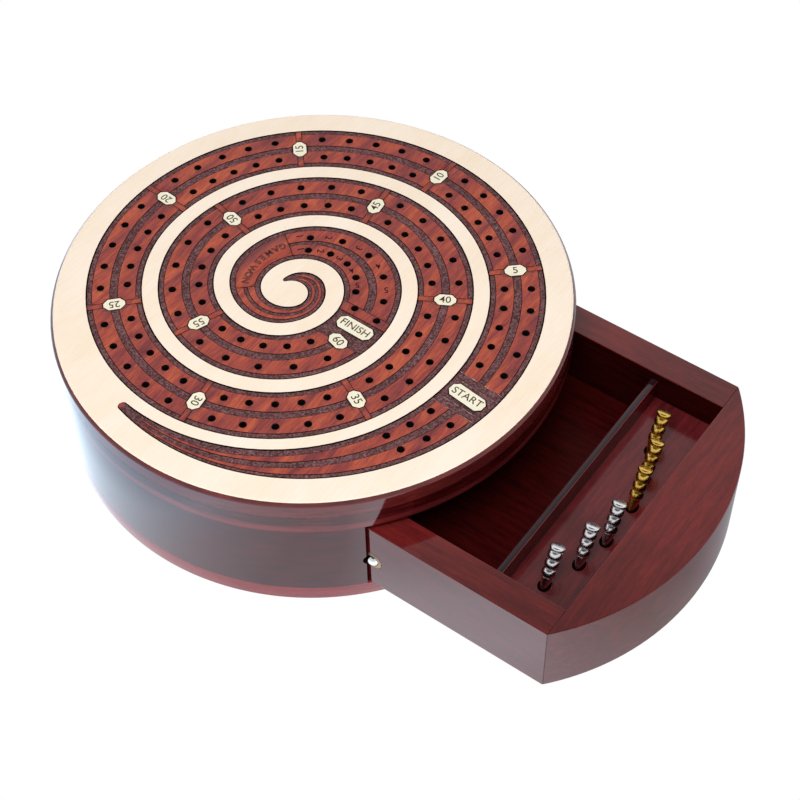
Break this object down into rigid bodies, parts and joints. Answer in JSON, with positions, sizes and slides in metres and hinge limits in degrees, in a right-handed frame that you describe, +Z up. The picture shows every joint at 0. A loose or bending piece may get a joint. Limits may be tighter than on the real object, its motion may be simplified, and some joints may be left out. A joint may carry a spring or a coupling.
{
  "type": "cribbage box with drawer",
  "caption": "Round wooden cribbage box: pale top with a dark inlaid spiral peg track and small plaques, and a bow-fronted drawer with a card bay and slanted metal pegs.",
  "frame": {"origin": "centre of the flat underside of the round body", "axes": "+Z up, the drawer opens towards -Y, +X is to the right as seen by someone facing the drawer's front"},
  "size_m": [0.203, 0.279, 0.0605],
  "materials": {
    "stained_wood": "dark red stain under a high-gloss lacquer",
    "maple": "satin, its edge stained dark red",
    "track_wood": "satin, red-brown with darker streaks",
    "plaque_wood": "satin",
    "silver_metal": "polished",
    "gold_metal": "polished",
    "catch_brass": "satin",
    "ball_steel": "polished",
    "spring_steel": "bright drawn wire"
  },
  "bodies": {
    "box": {"base_disc": "stained_wood", "body_ring": "stained_wood", "upper_disc": "stained_wood", "maple_top": "maple", "spiral_track": "track_wood", "plaque_start": "plaque_wood", "plaque_05": "plaque_wood", "plaque_10": "plaque_wood", "plaque_15": "plaque_wood", "plaque_20": "plaque_wood", "plaque_25": "plaque_wood", "plaque_30": "plaque_wood", "plaque_35": "plaque_wood", "plaque_40": "plaque_wood", "plaque_45": "plaque_wood", "plaque_50": "plaque_wood", "plaque_55": "plaque_wood", "plaque_60": "plaque_wood", "plaque_finish": "plaque_wood"},
    "drawer": {"drawer_front": "stained_wood", "drawer_side_left": "stained_wood", "drawer_side_right": "stained_wood", "drawer_back": "stained_wood", "drawer_floor": "stained_wood", "divider": "stained_wood", "peg_rack": "stained_wood", "catch_sleeve": "catch_brass", "catch_spring": "spring_steel"},
    "silver_peg_1": {"silver_peg_1": "silver_metal"},
    "silver_peg_2": {"silver_peg_2": "silver_metal"},
    "silver_peg_3": {"silver_peg_3": "silver_metal"},
    "gold_peg_1": {"gold_peg_1": "gold_metal"},
    "gold_peg_2": {"gold_peg_2": "gold_metal"},
    "gold_peg_3": {"gold_peg_3": "gold_metal"},
    "catch_ball": {"catch_ball": "ball_steel"}
  },
  "joints": [
    {"name": "drawer_slide", "type": "slide", "parent": "box", "child": "drawer", "axis": [0, -1, 0], "range_m": [-0.076, 0.012]},
    {"name": "silver_peg_1_lift", "type": "slide", "parent": "drawer", "child": "silver_peg_1", "axis": [0.5575, 0.0439, 0.829], "range_m": [0, 0.018]},
    {"name": "silver_peg_2_lift", "type": "slide", "parent": "drawer", "child": "silver_peg_2", "axis": [0.5575, 0.0439, 0.829], "range_m": [0, 0.018]},
    {"name": "silver_peg_3_lift", "type": "slide", "parent": "drawer", "child": "silver_peg_3", "axis": [0.5575, 0.0439, 0.829], "range_m": [0, 0.018]},
    {"name": "gold_peg_1_lift", "type": "slide", "parent": "drawer", "child": "gold_peg_1", "axis": [0.5575, 0.0439, 0.829], "range_m": [0, 0.018]},
    {"name": "gold_peg_2_lift", "type": "slide", "parent": "drawer", "child": "gold_peg_2", "axis": [0.5575, 0.0439, 0.829], "range_m": [0, 0.018]},
    {"name": "gold_peg_3_lift", "type": "slide", "parent": "drawer", "child": "gold_peg_3", "axis": [0.5575, 0.0439, 0.829], "range_m": [0, 0.018]},
    {"name": "catch_press", "type": "slide", "parent": "drawer", "child": "catch_ball", "axis": [1, 0, 0], "range_m": [0, 0.0015], "stiffness_N_per_m": 400, "springref_m": -0.002, "deforming": ["catch_spring"]}
  ]
}
